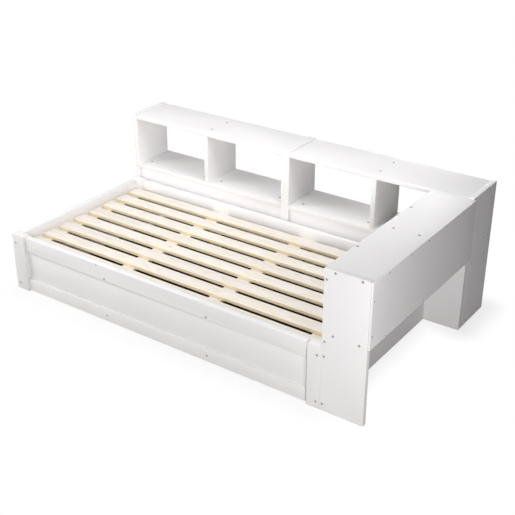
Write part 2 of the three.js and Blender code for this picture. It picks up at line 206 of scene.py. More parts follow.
class StudioSettings(PropertyGroup):
    """Lamps, floor and camera."""

    floor: FloatVectorProperty(
        name="Floor", description="Pale studio floor", subtype="COLOR", size=3,
        default=(0.93, 0.93, 0.93), min=0.0, max=1.0)
    shadow_start: FloatProperty(
        name="Shadow start", description="How far from the boards the floor starts to turn white",
        default=10 * MM, min=0.0, unit="LENGTH")
    shadow_end: FloatProperty(
        name="Shadow end", description="How far from the boards the floor is white", default=160 * MM,
        min=0.0, unit="LENGTH")
    # The painted deep shade on the floor starts this far inside the boards and fades out over the shade
    # edge.
    shade_inset: FloatProperty(
        name="Shade inset", description="How far inside the boards the deep shade starts",
        default=35 * MM, min=0.0, unit="LENGTH")
    shade_edge: FloatProperty(
        name="Shade edge", description="Width over which the deep shade fades out behind the bed",
        default=100 * MM, min=0.0, unit="LENGTH")
    shadow_lift: FloatProperty(
        name="Shadow lift", description="White share of the floor in the shadow", default=0.75, min=0.0,
        max=1.0)
    # Painted shade: the floor under the slats takes this dark colour, standing in for the deep shade
    # beneath the bed.
    painted_deep_shade: FloatVectorProperty(
        name="Floor under the bed", description="Floor in the deep shade between the slats",
        subtype="COLOR", size=3, default=(0.036, 0.03, 0.02), min=0.0, max=1.0)
    floor_bounce: FloatVectorProperty(
        name="Floor bounce", description="How much light the floor throws back at the bed",
        subtype="COLOR", size=3, default=(0.38, 0.37, 0.345), min=0.0, max=1.0)
    lens: FloatProperty(
        name="Lens", description="Focal length of the camera in millimetres", default=66.683, min=1.0)
    eye: FloatVectorProperty(
        name="Camera place", description="Where the camera stands", subtype="TRANSLATION", size=3,
        default=(2.61281, -3.6016, 2.52986))
    turn: FloatVectorProperty(
        name="Camera turn", description="How the camera is turned", subtype="EULER", size=3,
        default=(1.095, -0.00101, 0.615))


for lamp_name, lamp_kind, lamp_power, *_ in LAMPS:
    StudioSettings.__annotations__[lamp_name] = FloatProperty(
        name=lamp_name.replace("_", " ").capitalize(), description="Power of the " + lamp_kind,
        default=lamp_power, min=0.0, unit="POWER")


def select_only(*pieces):
    for item in bpy.context.selected_objects:
        item.select_set(False)
    for piece in pieces:
        piece.select_set(True)
    if pieces:
        bpy.context.view_layer.objects.active = pieces[0]


def apply_modifier(piece, modifier):
    select_only(piece)
    bpy.ops.object.modifier_apply(modifier=modifier.name)


def settle(piece):
    """Leaves the piece's place in its mesh, with the object at the origin."""
    select_only(piece)
    bpy.ops.object.transform_apply(location=True, rotation=True, scale=True)


def add_block(name, low, high):
    """A squared blank between two corners."""
    low, high = Vector(low), Vector(high)
    select_only()
    bpy.ops.mesh.primitive_cube_add(size=1, location=(low + high) / 2)
    block = bpy.context.active_object
    block.name = name
    block.data.name = name
    block.scale = high - low
    settle(block)
    return block


def cut_away(piece, cutter):
    """Takes the cutter's shape out of the piece."""
    cut = piece.modifiers.new("cut", "BOOLEAN")
    cut.operation = "DIFFERENCE"
    cut.solver = "EXACT"
    cut.object = cutter
    apply_modifier(piece, cut)
    bpy.data.objects.remove(cutter)


def soften(piece, radius):
    """Rounds every hard edge, as sanding does."""
    steps = bpy.context.scene.bed_boards.arris_steps
    easing = piece.modifiers.new("arris", "BEVEL")
    easing.width = radius
    easing.segments = steps
    easing.limit_method = "ANGLE"
    easing.angle_limit = HARD_EDGE
    apply_modifier(piece, easing)


def round_ends(slat, radius, low, high):
    """Rounds the upright edges at both ends of a slat."""
    select_only(slat)
    bpy.ops.object.mode_set(mode="EDIT")
    bpy.ops.mesh.select_mode(type="EDGE")
    bpy.ops.mesh.select_all(action="DESELECT")
    shape = bmesh.from_edit_mesh(slat.data)
    for edge in shape.edges:
        start, end = (corner.co for corner in edge.verts)
        upright = abs(start.z - end.z) > (high.z - low.z) / 2
        edge.select_set(upright and min(start.x - low.x, high.x - start.x) < 1 * MM)
    bmesh.update_edit_mesh(slat.data)
    bpy.ops.mesh.bevel(offset=radius, segments=5)
    leave_edit()


def smooth(piece):
    select_only(piece)
    bpy.ops.object.shade_smooth_by_angle(angle=SMOOTH_BELOW)


def edit_faces(piece, wanted):
    """Selects the faces that wanted(face) picks, and leaves the piece in edit mode."""
    select_only(piece)
    bpy.ops.object.mode_set(mode="EDIT")
    bpy.ops.mesh.select_mode(type="FACE")
    bpy.ops.mesh.select_all(action="DESELECT")
    shape = bmesh.from_edit_mesh(piece.data)
    for face in shape.faces:
        face.select_set(wanted(face))
    bmesh.update_edit_mesh(piece.data)


def leave_edit():
    bpy.ops.object.mode_set(mode="OBJECT")


def dress(piece, material, slot_name, *nodes):
    """Gives the piece its finish and lets it stand for its nodes."""
    piece.data.materials.clear()
    piece.data.materials.append(material)
    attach(piece, "root")
    if nodes:
        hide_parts(*nodes)


def corners(node):
    low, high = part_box(node)
    return Vector(low), Vector(high)


def long_axis(node):
    low, high = corners(node)
    spans = high - low
    return "xyz"[max(range(3), key=lambda i: spans[i])]


def seats_in(node):
    """(mouth centre, outward direction, radius, depth) of each blind round seat cut in a board."""
    low, high = corners(node)
    probe = bmesh.new()
    probe.from_mesh(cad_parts[node].data)
    bmesh.ops.remove_doubles(probe, verts=probe.verts, dist=0.01 * MM)
    bmesh.ops.dissolve_limit(
        probe, angle_limit=math.radians(1), verts=probe.verts, edges=probe.edges)
    seats = []
    for face in probe.faces:
        centre = face.calc_center_median()
        reach = [(corner.co - centre).length for corner in face.verts]
        if len(reach) < 10 or max(reach) - min(reach) > TOLERANCE:
            continue
        outward = face.normal.normalized()
        axis = max(range(3), key=lambda i: abs(outward[i]))
        mouth = centre.copy()
        mouth[axis] = high[axis] if outward[axis] > 0 else low[axis]
        depth = (mouth - centre).length
        if depth < DEEPEST_SEAT:
            seats.append((mouth, outward, max(reach), depth))
    probe.free()
    return seats


def facing(outward):
    """Turns a shape made along +Z so that it looks outward."""
    return outward.to_track_quat("Z", "Y").to_matrix().to_4x4()


def sink_seat(piece, seat):
    """Cuts a round seat with a flared rim."""
    mouth, outward, radius, depth = seat
    flare = bpy.context.scene.bed_boards.seat_flare
    select_only()
    bpy.ops.mesh.primitive_cylinder_add(vertices=40, radius=radius, depth=2 * depth)
    cutter = bpy.context.active_object
    edit_faces(cutter, lambda face: face.normal.z > 0.9)
    bpy.ops.transform.translate(value=(0, 0, -depth - flare))
    bpy.ops.mesh.extrude_region_move(TRANSFORM_OT_translate={"value": (0, 0, 2 * flare)})
    widen = (radius + 2 * flare) / radius
    bpy.ops.transform.resize(value=(widen, widen, 1))
    leave_edit()
    cutter.data.transform(Matrix.Translation(mouth) @ facing(outward))
    cut_away(piece, cutter)


def mark(piece, name, values):
    """Gives each point of a piece a value that its material reads."""
    mesh = piece.data
    mesh.attributes.new(name, "FLOAT", "POINT")
    mesh.attributes[name].data.foreach_set("value", values)


def lay_grain(board, number):
    """Stores each corner's place along, across and through the board, and the plank's own tone."""
    mesh = board.data
    points = [vertex.co.copy() for vertex in mesh.vertices]
    low = Vector([min(point[i] for point in points) for i in range(3)])
    high = Vector([max(point[i] for point in points) for i in range(3)])
    order = sorted(range(3), key=lambda i: low[i] - high[i])
    middle = (low + high) / 2
    places = []
    for point in points:
        there = point - middle
        places += [there[order[0]] + BOARD_SHIFT * number, there[order[1]], there[order[2]]]
    mesh.attributes.new("board_place", "FLOAT_VECTOR", "POINT")
    mesh.attributes["board_place"].data.foreach_set("vector", places)
    mark(board, "plank_tone", [(number * GOLDEN_SHARE) % 1] * len(points))


def plain_board(node, material, slot_name, arris, cutters=(), more_seats=(), end_radius=0.0):
    """A board in its node's place: squared, cut, softened, then drilled for its bolt heads."""
    board = add_block("made_" + node, *corners(node))
    for low, high in cutters:
        cut_away(board, add_block("cutter", low, high))
    if end_radius:
        round_ends(board, end_radius, *corners(node))
    soften(board, arris)
    for seat in (*seats_in(node), *more_seats):
        sink_seat(board, seat)
    smooth(board)
    lay_grain(board, sorted(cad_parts).index(node))
    dress(board, material, slot_name, node)
    return board


class NodeSheet:
    """The nodes of one material or world, with short ways to add the usual kinds."""

    def __init__(self, owner):
        owner.use_nodes = True
        self.nodes, self.links = owner.node_tree.nodes, owner.node_tree.links

    def add(self, kind, place, label="", **values):
        """A node with some of its settings or input values."""
        node = self.nodes.new(kind)
        node.location = place
        node.label = label
        for name, value in values.items():
            if hasattr(node, name):
                setattr(node, name, value)
            else:
                node.inputs[name.replace("_", " ").title()].default_value = value
        return node

    def mapped(self, place, label, vector, scale=(1, 1, 1), offset=(0, 0, 0)):
        """A vector stretched and moved."""
        turn = self.add("ShaderNodeMapping", place, label, scale=scale)
        turn.inputs["Location"].default_value = offset
        self.links.new(vector, turn.inputs["Vector"])
        return turn.outputs["Vector"]

    def noise(self, place, label, vector, **values):
        """A soft noise read at a vector."""
        cloud = self.add("ShaderNodeTexNoise", place, label, **values)
        self.links.new(vector, cloud.inputs["Vector"])
        return cloud.outputs["Fac"]

    def ramp(self, place, label, value, stops):
        """A colour ramp through (position, colour) stops."""
        ramp = self.add("ShaderNodeValToRGB", place, label)
        elements = ramp.color_ramp.elements
        while len(elements) < len(stops):
            elements.new(0.5)
        for element, (position, colour) in zip(elements, stops):
            element.position = position
            element.color = (*colour, 1)
        self.links.new(value, ramp.inputs["Fac"])
        return ramp.outputs["Color"]

    def maths(self, place, operation, *values, label=""):
        """A maths node fed by sockets or plain numbers."""
        node = self.add("ShaderNodeMath", place, label, operation=operation)
        for socket, value in zip(node.inputs, values):
            if isinstance(value, (int, float)):
                socket.default_value = value
            else:
                self.links.new(value, socket)
        return node.outputs[0]

    def axes(self, place, vector):
        """The X, Y and Z outputs of a vector."""
        split = self.add("ShaderNodeSeparateXYZ", place)
        self.links.new(vector, split.inputs["Vector"])
        return [split.outputs[axis] for axis in "XYZ"]

    def spread(self, place, label, value, low, high):
        """A value of 0 to 1 stretched from low to high."""
        wide = self.add("ShaderNodeMapRange", place, label, to_min=low, to_max=high)
        self.links.new(value, wide.inputs["Value"])
        return wide.outputs["Result"]

    def eased(self, place, label, value, start, end):
        """A smooth step of a value from 0 at start to 1 at end."""
        step = self.add("ShaderNodeMapRange", place, label, interpolation_type="SMOOTHSTEP",
                        from_min=start, from_max=end)
        self.links.new(value, step.inputs["Value"])
        return step.outputs["Result"]

    def mixed(self, place, label, kind, share, first, colour):
        """A colour blended with a plain one by a share."""
        mix = self.add("ShaderNodeMix", place, label, data_type="RGBA", blend_type=kind)
        start, end = [socket for socket in mix.inputs if socket.type == "RGBA"]
        end.default_value = (*colour, 1)
        self.links.new(share, mix.inputs["Factor"])
        self.links.new(first, start)
        return [socket for socket in mix.outputs if socket.type == "RGBA"][0]

    def blend(self, place, share, first, second):
        """Two shaders blended by a share."""
        mix = self.add("ShaderNodeMixShader", place)
        self.links.new(share, mix.inputs["Fac"])
        self.links.new(first, mix.inputs[1])
        self.links.new(second, mix.inputs[2])
        return mix.outputs["Shader"]

    def bump(self, place, label, height, strength, distance, under=None):
        """Fine relief, laid over another relief where one is given."""
        relief = self.add("ShaderNodeBump", place, label, strength=strength, distance=distance)
        self.links.new(height, relief.inputs["Height"])
        if under is not None:
            self.links.new(under, relief.inputs["Normal"])
        return relief.outputs["Normal"]


def new_material(name):
    material = bpy.data.materials.new(name)
    sheet = NodeSheet(material)
    return material, sheet, sheet.links, sheet.nodes["Principled BSDF"]


def satin_paint():
    """White satin paint over boards whose grain just shows in the sheen."""
    name = "satin_paint"
    if name in bpy.data.materials:
        return bpy.data.materials[name]
    colours = bpy.context.scene.bed_colours
    material, sheet, links, shader = new_material(name)
    shader.inputs["Specular IOR Level"].default_value = SATIN_SPECULAR
    place = sheet.add("ShaderNodeTexCoord", (-1300, 0), "place on the bed")
    on_board = sheet.add("ShaderNodeAttribute", (-1300, -200), "place on the board",
                         attribute_name="board_place")
    along = sheet.mapped((-1100, -200), "stretched along the grain", on_board.outputs["Vector"],
                         (0.06, 1, 1))

    coat = sheet.noise((-850, 250), "thickness of the coat", place.outputs["Object"],
                       scale=2.6, detail=4.0, roughness=0.55)
    tone = sheet.ramp((-600, 250), "paint tone", coat,
                      [(0.35, colours.paint_shade), (0.65, colours.paint)])
    # Painted shade: where a board is marked, its paint colour is darkened as if it lay in shade.
    dusty = sheet.add("ShaderNodeAttribute", (-600, 480), "where dust settles", attribute_name="dusty")
    ledge_shaded = sheet.mixed((-300, 250), "dusty ledge", "MULTIPLY", dusty.outputs["Fac"], tone,
                         colours.painted_ledge_shade)
    links.new(ledge_shaded, shader.inputs["Base Color"])

    grain_lines = sheet.noise((-850, -150), "grain under the paint", along,
                              scale=140.0, detail=5.0, roughness=0.6)
    stipple = sheet.noise((-850, -450), "roller stipple", place.outputs["Object"],
                          scale=1100.0, detail=2.0)
    sheen = sheet.spread((-600, 0), "sheen", grain_lines, 0.46, 0.62)
    links.new(sheen, shader.inputs["Roughness"])
    grain_relief = sheet.bump((-500, -250), "grain relief", grain_lines, 0.12, 0.15 * MM)
    relief = sheet.bump((-250, -350), "stipple relief", stipple, 0.10, 0.05 * MM, grain_relief)
    links.new(relief, shader.inputs["Normal"])
    return material


def planed_pine():
    """Pale planed pine: growth rings along each board as in a plank cut flat through the log, fine
    fibres, one soft knot, and a deeper tone on upright faces that is partly painted shade.
    """
    name = "planed_pine"
    if name in bpy.data.materials:
        return bpy.data.materials[name]
    colours, figure = bpy.context.scene.bed_colours, bpy.context.scene.bed_grain
    material, sheet, links, shader = new_material(name)
    on_board = sheet.add("ShaderNodeAttribute", (-2400, 0), "place on the board",
                         attribute_name="board_place")
    toned = sheet.add("ShaderNodeAttribute", (-2400, -700), "tone of the plank",
                      attribute_name="plank_tone")
    along, across, through = sheet.axes((-2200, 200), on_board.outputs["Vector"])

    def noise_of(level, label, stretch, scale, detail, offset=(0, 0, 0)):
        there = sheet.mapped((-2000, level), label, on_board.outputs["Vector"], stretch, offset)
        return sheet.noise((-1800, level), label, there, scale=scale, detail=detail)

    drift = noise_of(300, "drift of the heart", (1, 0, 0), 1.7, 2.0)
    dive = noise_of(50, "depth of the heart", (1, 0, 0), 1.3, 2.0, (17.3, 5.1, 0))
    ripple = noise_of(-200, "ripple of the rings", (0.12, 1, 1), 24.0, 3.0)
    fibre = noise_of(-450, "fibres", (0.05, 1, 1), 420.0, 4.0)
    cloudy = noise_of(-700, "slow change of tone", (0.5, 1, 1), 5.0, 2.0)

    side_way = sheet.maths((-1600, 300), "MULTIPLY_ADD", drift, figure.heart_drift,
                           -figure.heart_drift / 2)
    off_heart = sheet.maths((-1400, 300), "ADD", across, side_way)
    depth = sheet.maths((-1600, 50), "MULTIPLY_ADD", dive, figure.heart_depth, figure.heart_depth / 3)
    below = sheet.maths((-1400, 50), "ADD", through, depth)
    square_a = sheet.maths((-1200, 300), "MULTIPLY", off_heart, off_heart)
    square_b = sheet.maths((-1200, 50), "MULTIPLY", below, below)
    both = sheet.maths((-1000, 200), "ADD", square_a, square_b)
    reach = sheet.maths((-800, 200), "SQRT", both, label="reach from the heart")
    rippled = sheet.maths((-800, 0), "MULTIPLY_ADD", ripple, figure.ripple, reach)

    on_bed = sheet.add("ShaderNodeTexCoord", (-1800, 700), "place on the bed")
    to_knot = sheet.mapped((-1600, 700), "measured from the knot", on_bed.outputs["Object"],
                           offset=[-part for part in figure.knot_place])
    far = sheet.add("ShaderNodeVectorMath", (-1400, 700), "metres to the knot", operation="LENGTH")
    links.new(to_knot, far.inputs[0])
    squared = sheet.maths((-1200, 700), "POWER", far.outputs["Value"], 2)
    falling = sheet.maths((-1000, 700), "MULTIPLY", squared, -1 / figure.knot_reach ** 2)
    near = sheet.maths((-800, 700), "EXPONENT", falling)
    swept = sheet.maths((-600, 500), "MULTIPLY_ADD", near, figure.knot_sweep, rippled)
    rings = sheet.maths((-400, 300), "DIVIDE", swept, figure.ring_width)
    ring = sheet.maths((-200, 300), "FRACT", rings)
    wood = sheet.ramp((0, 300), "early to late wood", ring,
                      [(0.0, colours.early_wood), (0.4, colours.early_wood),
                       (0.86, colours.late_wood), (1.0, colours.early_wood)])

    plank = sheet.maths((-200, -600), "MULTIPLY_ADD", toned.outputs["Fac"], 0.06, 0.955,
                        label="plank tone")
    slow = sheet.maths((-200, -750), "MULTIPLY_ADD", cloudy, 0.07, plank)
    level = sheet.maths((0, -750), "ADD", slow, -0.065)
    grained = sheet.maths((0, -600), "MULTIPLY_ADD", fibre, 0.06, level)
    shaded = sheet.add("ShaderNodeHueSaturation", (300, 200), "plank tone")
    links.new(grained, shaded.inputs["Value"])
    links.new(wood, shaded.inputs["Color"])

    # Painted shade, in part: upright faces are multiplied by a deeper, warmer colour, partly the wood's
    # tone and partly the warm shade between the slats.
    standing = sheet.add("ShaderNodeNewGeometry", (100, 700))
    up = sheet.axes((280, 700), standing.outputs["True Normal"])[2]
    flat = sheet.maths((450, 700), "ABSOLUTE", up)
    upright = sheet.eased((620, 700), "upright faces are sawn", flat, 0.85, 0.25)
    toned_and_shaded = sheet.mixed((600, 300), "deeper sawn edges", "MULTIPLY", upright, shaded.outputs["Color"],
                       colours.upright_tone_and_shade)
    heart = sheet.eased((450, 900), "heart of the knot", far.outputs["Value"], 12 * MM, 3 * MM)
    knotted = sheet.mixed((800, 300), "soft knot", "MIX", heart, toned_and_shaded, colours.knot)
    links.new(knotted, shader.inputs["Base Color"])

    dull = sheet.spread((500, -300), "dull fibres, smoother rings", fibre, 0.60, 0.74)
    links.new(dull, shader.inputs["Roughness"])
    shader.inputs["Specular IOR Level"].default_value = SATIN_SPECULAR
    height = sheet.maths((500, -500), "MULTIPLY_ADD", ring, 0.5, fibre)
    relief = sheet.bump((700, -500), "raised grain", height, 0.22, 0.2 * MM)
    links.new(relief, shader.inputs["Normal"])
    return material


def zinc_steel(painted=False):
    """Zinc-plated steel with a fine turned sheen; with painted, paint covers the heads marked for it."""
    name = "painted_steel" if painted else "zinc_steel"
    if name in bpy.data.materials:
        return bpy.data.materials[name]
    colours = bpy.context.scene.bed_colours
    material, sheet, links, shader = new_material(name)
    shader.inputs["Metallic"].default_value = 1.0
    place = sheet.add("ShaderNodeTexCoord", (-1000, 0), "place on the bed")
    cloud = sheet.noise((-750, 150), "plating cloud", place.outputs["Object"], scale=260.0, detail=4.0)
    scratch = sheet.noise((-750, -150), "fine scratches", place.outputs["Object"],
                          scale=2600.0, detail=3.0)
    darker = [part * 0.72 for part in colours.steel]
    tone = sheet.ramp((-500, 200), "plating tone", cloud,
                      [(0.3, darker), (0.7, colours.steel)])
    # Painted shade: heads that face up or to the right get a darker colour.
    standing = sheet.add("ShaderNodeNewGeometry", (-1000, 500))
    right, _, up = sheet.axes((-800, 500), standing.outputs["True Normal"])
    most = sheet.maths((-700, 500), "MAXIMUM", up, right)
    dull = sheet.eased((-600, 500), "dull on level and right-hand heads", most, 0.4, 0.9)
    finish = sheet.mixed((-250, 250), "dusty heads", "MULTIPLY", dull, tone, colours.painted_shade)
    if painted:
        cover = sheet.add("ShaderNodeAttribute", (-500, 400), "painted heads", attribute_name="painted")
        paint = cover.outputs["Fac"]
        finish = sheet.mixed((-50, 250), "painted over", "MIX", paint, finish, colours.head_paint)
        bare = sheet.maths((-250, 50), "SUBTRACT", 1.0, paint, label="bare metal")
        links.new(bare, shader.inputs["Metallic"])
    links.new(finish, shader.inputs["Base Color"])
    sheen = sheet.spread((-500, -50), "sheen", cloud, 0.26, 0.48)
    links.new(sheen, shader.inputs["Roughness"])
    relief = sheet.bump((-400, -300), "scratch relief", scratch, 0.2, 0.02 * MM)
    links.new(relief, shader.inputs["Normal"])
    return material


def painted_board(node, arris=None, cutters=()):
    sizes = bpy.context.scene.bed_boards
    return plain_board(node, satin_paint(), "white_paint",
                       sizes.arris if arris is None else arris, cutters)


def pine_board(node, cutters=(), more_seats=(), end_radius=0.0):
    sizes = bpy.context.scene.bed_boards
    return plain_board(node, planed_pine(), "pale_wood", sizes.slat_arris, cutters, more_seats,
                       end_radius)


def grown(box, room):
    """A box made larger by some room on every side."""
    low, high = box
    spare = Vector((room, room, room))
    return low - spare, high + spare


class BED_OT_posts(Operator):
    """Make the four painted corner posts"""

    bl_idname = "bed.posts"
    bl_label = "Corner posts"

    def execute(self, context):
        for row in ("front", "rear"):
            for side in ("left", "right"):
                painted_board("post_" + row + "_" + side)
        return {"FINISHED"}


class BED_OT_sides(Operator):
    """Make the rails and thin panels of the bed's sides"""

    bl_idname = "bed.sides"
    bl_label = "Rails and panels"

    def execute(self, context):
        sizes = context.scene.bed_boards
        for side in ("front", "left_end", "right_end"):
            panel = side + "_panel"
            groove = grown(corners(panel), sizes.groove_play)
            run = "xyz".index(long_axis(panel))
            low, high = groove
            low[run] -= PAST_END
            high[run] += PAST_END
            painted_board(panel, arris=sizes.thin_arris)
            painted_board(side + "_top_rail", cutters=[groove])
            rail = painted_board(side + "_bottom_rail", cutters=[groove])
            # Painted shade: the top ledge of each bottom rail is marked for a darker paint colour.
            ledge = corners(side + "_bottom_rail")[1].z - sizes.arris / 2
            mark(rail, "dusty", [float(vertex.co.z > ledge) for vertex in rail.data.vertices])
        painted_board("rear_rail")
        return {"FINISHED"}


class BED_OT_slat_supports(Operator):
    """Make the bearers, ledgers, crossbars and stepped legs under the slats"""

    bl_idname = "bed.slat_supports"
    bl_label = "Slat supports"

    def execute(self, context):
        play = context.scene.bed_boards.groove_play
        for side in ("left", "right"):
            crossbar = "crossbar_" + side
            pine_board("bearer_" + side)
            pine_board("ledger_" + side)
            pine_board(crossbar)
            for row in ("front", "rear"):
                pine_board("leg_" + row + "_" + side, cutters=[grown(corners(crossbar), play)])
        return {"FINISHED"}


class BED_OT_slats(Operator):
    """Make the planed slats, the front one notched round the posts"""

    bl_idname = "bed.slats"
    bl_label = "Slats"

    def execute(self, context):
        room = 1 * MM
        posts = [grown(corners("post_front_" + side), room) for side in ("left", "right")]
        names = sorted(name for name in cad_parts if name.startswith("slat_"))
        if not names:
            raise RuntimeError("the frame has no slats")
        seats = []
        for name in names:
            low, high = corners(name)
            notches = [post for post in posts if post[1].y > low.y]
            own = [self.screw_seat(context, support, low, high) for support in
                   ("bearer_left", "crossbar_left", "crossbar_right", "bearer_right")]
            pine_board(name, notches, own, context.scene.bed_boards.slat_end)
            seats += own
        sizes = context.scene.bed_fasteners
        model = model_screw_head(sizes.head_share * sizes.slat_screw, SLAT_HEAD_HEIGHT)
        heads = place_copies(model, seats, "slat_screws")
        paint_over(heads, share=context.scene.bed_colours.slat_heads)
        dress(heads, zinc_steel(painted=True), "bolt_steel")
        bpy.data.objects.remove(model)
        return {"FINISHED"}

    def screw_seat(self, context, support, low, high):
        """Where a slat is screwed to a board under it."""
        under_low, under_high = corners(support)
        mouth = Vector(((under_low.x + under_high.x) / 2, (low.y + high.y) / 2, high.z))
        return mouth, Vector((0, 0, 1)), context.scene.bed_fasteners.slat_screw, SLAT_SEAT_DEPTH


class BED_OT_bookcases(Operator):
    """Make the two open bookcase units behind the bed"""

    bl_idname = "bed.bookcases"
    bl_label = "Bookcase units"

    def execute(self, context):
        for unit in ("left", "right"):
            for part in ("side_left", "side_right", "top", "divider", "shelf", "apron"):
                painted_board(unit + "_unit_" + part)
        return {"FINISHED"}


class BED_OT_bridge(Operator):
    """Make the shelf unit that bridges the bed's right end"""

    bl_idname = "bed.bridge"
    bl_label = "Bridge shelf"
    slot_width: FloatProperty(
        name="Slot width", description="Open joint at the top between the front board and outer panel",
        default=1.8 * MM, min=0.0, unit="LENGTH")
    slot_depth: FloatProperty(
        name="Slot depth", description="How far down that open joint reaches", default=5 * MM, min=0.0,
        unit="LENGTH")

    def execute(self, context):
        for part in ("rear_board", "top", "shelf", "divider", "upper_apron_front",
                     "upper_apron_rear", "lower_apron", "end_panel"):
            painted_board("bridge_" + part)
        low, high = corners("bridge_front_board")
        slot = (Vector((high.x - self.slot_width, low.y - MM, high.z - self.slot_depth)),
                Vector((high.x + MM, high.y + MM, high.z + MM)))
        painted_board("bridge_front_board", cutters=[slot])
        painted_board("bridge_outer_panel", arris=context.scene.bed_boards.thin_arris)
        return {"FINISHED"}


def head_blank(sides, radius, height, rim):
    """A disc with a softened rim, whose top lies at z = 0."""
    select_only()
    bpy.ops.mesh.primitive_cylinder_add(vertices=sides, radius=radius, depth=height,
                                        location=(0, 0, -height / 2))
    head = bpy.context.active_object
    settle(head)
    soften(head, rim)
    return head


def model_bolt_head(radius, height):
    """A flat bolt head with a rounded rim and a six-sided socket, looking up from z = 0."""
    sizes = bpy.context.scene.bed_fasteners
    head = head_blank(36, radius, height, 0.12 * radius)
    select_only()
    bpy.ops.mesh.primitive_cylinder_add(
        vertices=6, radius=sizes.socket_share * radius, depth=2 * sizes.socket_depth)
    cut_away(head, bpy.context.active_object)
    smooth(head)
    return head


def model_screw_head(radius, height):
    """A small countersunk head with a cross slot, looking up from z = 0."""
    head = head_blank(28, radius, height, 0.1 * radius)
    long, wide, deep = 0.62 * radius, 0.13 * radius, bpy.context.scene.bed_fasteners.cross_depth
    for half in ((long, wide, deep), (wide, long, deep)):
        cut_away(head, add_block("slot", [-part for part in half], half))
    smooth(head)
    return head


def place_copies(model, seats, name):
    """Sets a copy of the model in each seat and joins them to one piece."""
    sink = bpy.context.scene.bed_fasteners.sink
    copies = []
    for mouth, outward, *_ in seats:
        copy = model.copy()
        copy.data = model.data.copy()
        bpy.context.collection.objects.link(copy)
        spin = Matrix.Rotation(HEAD_TURN * len(copies), 4, "Z")
        copy.data.transform(Matrix.Translation(mouth - outward * sink) @ facing(outward) @ spin)
        copies.append(copy)
    select_only(*copies)
    if len(copies) > 1:
        bpy.ops.object.join()
    piece = bpy.context.active_object
    piece.name = name
    piece.data.name = name
    return piece


def paint_over(piece, share=1.0, from_y=-math.inf):
    """Marks the heads further back than from_y as painted over."""
    mark(piece, "painted", [share if vertex.co.y > from_y else 0.0 for vertex in piece.data.vertices])


class BED_OT_bolt_heads(Operator):
    """Set the bolt and screw heads in the boards' seats"""

    bl_idname = "bed.bolt_heads"
    bl_label = "Bolt and screw heads"

    def execute(self, context):
        sizes = context.scene.bed_fasteners
        seated = {node: seats_in(node) for node in sorted(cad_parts) if "bolt" not in node}
        radii = sorted({round(seat[2], 4) for seats in seated.values() for seat in seats})
        if len(radii) != 2:
            raise RuntimeError("expected one size of bolt seat and one of screw seat")
        for radius, kind, maker in zip(radii, ("screws", "bolts"), (model_screw_head, model_bolt_head)):
            depth = max(seat[3] for seats in seated.values() for seat in seats
                        if round(seat[2], 4) == radius)
            model = maker(sizes.head_share * radius, depth - sizes.sink)
            for node, seats in seated.items():
                own = [seat for seat in seats if round(seat[2], 4) == radius]
                if own:
                    piece = place_copies(model, own, node + "_" + kind)
                    painted = node.endswith("_unit_shelf")
                    if painted:
                        low, high = corners(node)
                        paint_over(piece, from_y=(low.y + high.y) / 2)
                    dress(piece, zinc_steel(painted), "bolt_steel")
            bpy.data.objects.remove(model)
        return {"FINISHED"}


class BED_OT_joining_bolts(Operator):
    """Make the six bolts that hold the units together"""

    bl_idname = "bed.joining_bolts"
    bl_label = "Joining bolts"

    def execute(self, context):
        for node in sorted(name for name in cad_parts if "_bolt_" in name):
            low, high = corners(node)
            span = high - low
            axis = max(range(3), key=lambda i: span[i])
            radius = min(span) / 2
            self.make(node, low, high, axis, radius)
        return {"FINISHED"}

    def make(self, node, low, high, axis, radius):
        """A shank with a socket head; a bolt between two units also has one on its sleeve nut."""
        centre = (low + high) / 2
        ends = []
        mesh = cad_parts[node].data
        for outward_sign, end in ((-1, low[axis]), (1, high[axis])):
            rim = [vertex.co for vertex in mesh.vertices if abs(vertex.co[axis] - end) < TOLERANCE]
            wide = max((point - Vector([end if i == axis else centre[i] for i in range(3)])).length
                       for point in rim)
            if wide > 0.8 * radius:
                outward = Vector((0, 0, 0))
                outward[axis] = outward_sign
                mouth = centre.copy()
                mouth[axis] = end
                ends.append((mouth, outward))
        head_height = 2.5 * MM
        shank_radius = 3 * MM
        length = (high - low)[axis]
        select_only()
        bpy.ops.mesh.primitive_cylinder_add(
            vertices=32, radius=shank_radius, depth=length - len(ends) * head_height)
        shank = bpy.context.active_object
        soften(shank, 0.4 * MM)
        smooth(shank)
        along = Vector([1.0 if i == axis else 0.0 for i in range(3)])
        middle = centre - sum((outward for mouth, outward in ends), Vector()) * head_height / 2
        shank.data.transform(Matrix.Translation(middle) @ facing(along))
        pieces = [shank]
        for mouth, outward in ends:
            head = model_bolt_head(radius, head_height)
            head.data.transform(Matrix.Translation(mouth) @ facing(outward))
            pieces.append(head)
        select_only(*pieces)
        bpy.ops.object.join()
        bolt = bpy.context.active_object
        bolt.name = "made_" + node
        settle(bolt)
        painted = node == "unit_bolt_upper"
        if painted:
            paint_over(bolt)
        dress(bolt, zinc_steel(painted), "bolt_steel", node)


def metres_outside(sheet, here, low, high, top):
    """How far a floor point lies outside a footprint, in metres."""
    squares = []
    for i in range(2):
        y = top - 150 * i
        middle, half = (low[i] + high[i]) / 2, (high[i] - low[i]) / 2
        shifted = sheet.maths((-1150, y), "SUBTRACT", here[i], middle)
        size = sheet.maths((-1000, y), "ABSOLUTE", shifted)
        past = sheet.maths((-850, y), "SUBTRACT", size, half)
        clear = sheet.maths((-700, y), "MAXIMUM", past, 0.0)
        squares.append(sheet.maths((-550, y), "MULTIPLY", clear, clear))
    total = sheet.maths((-400, top), "ADD", *squares)
    return sheet.maths((-250, top), "SQRT", total)


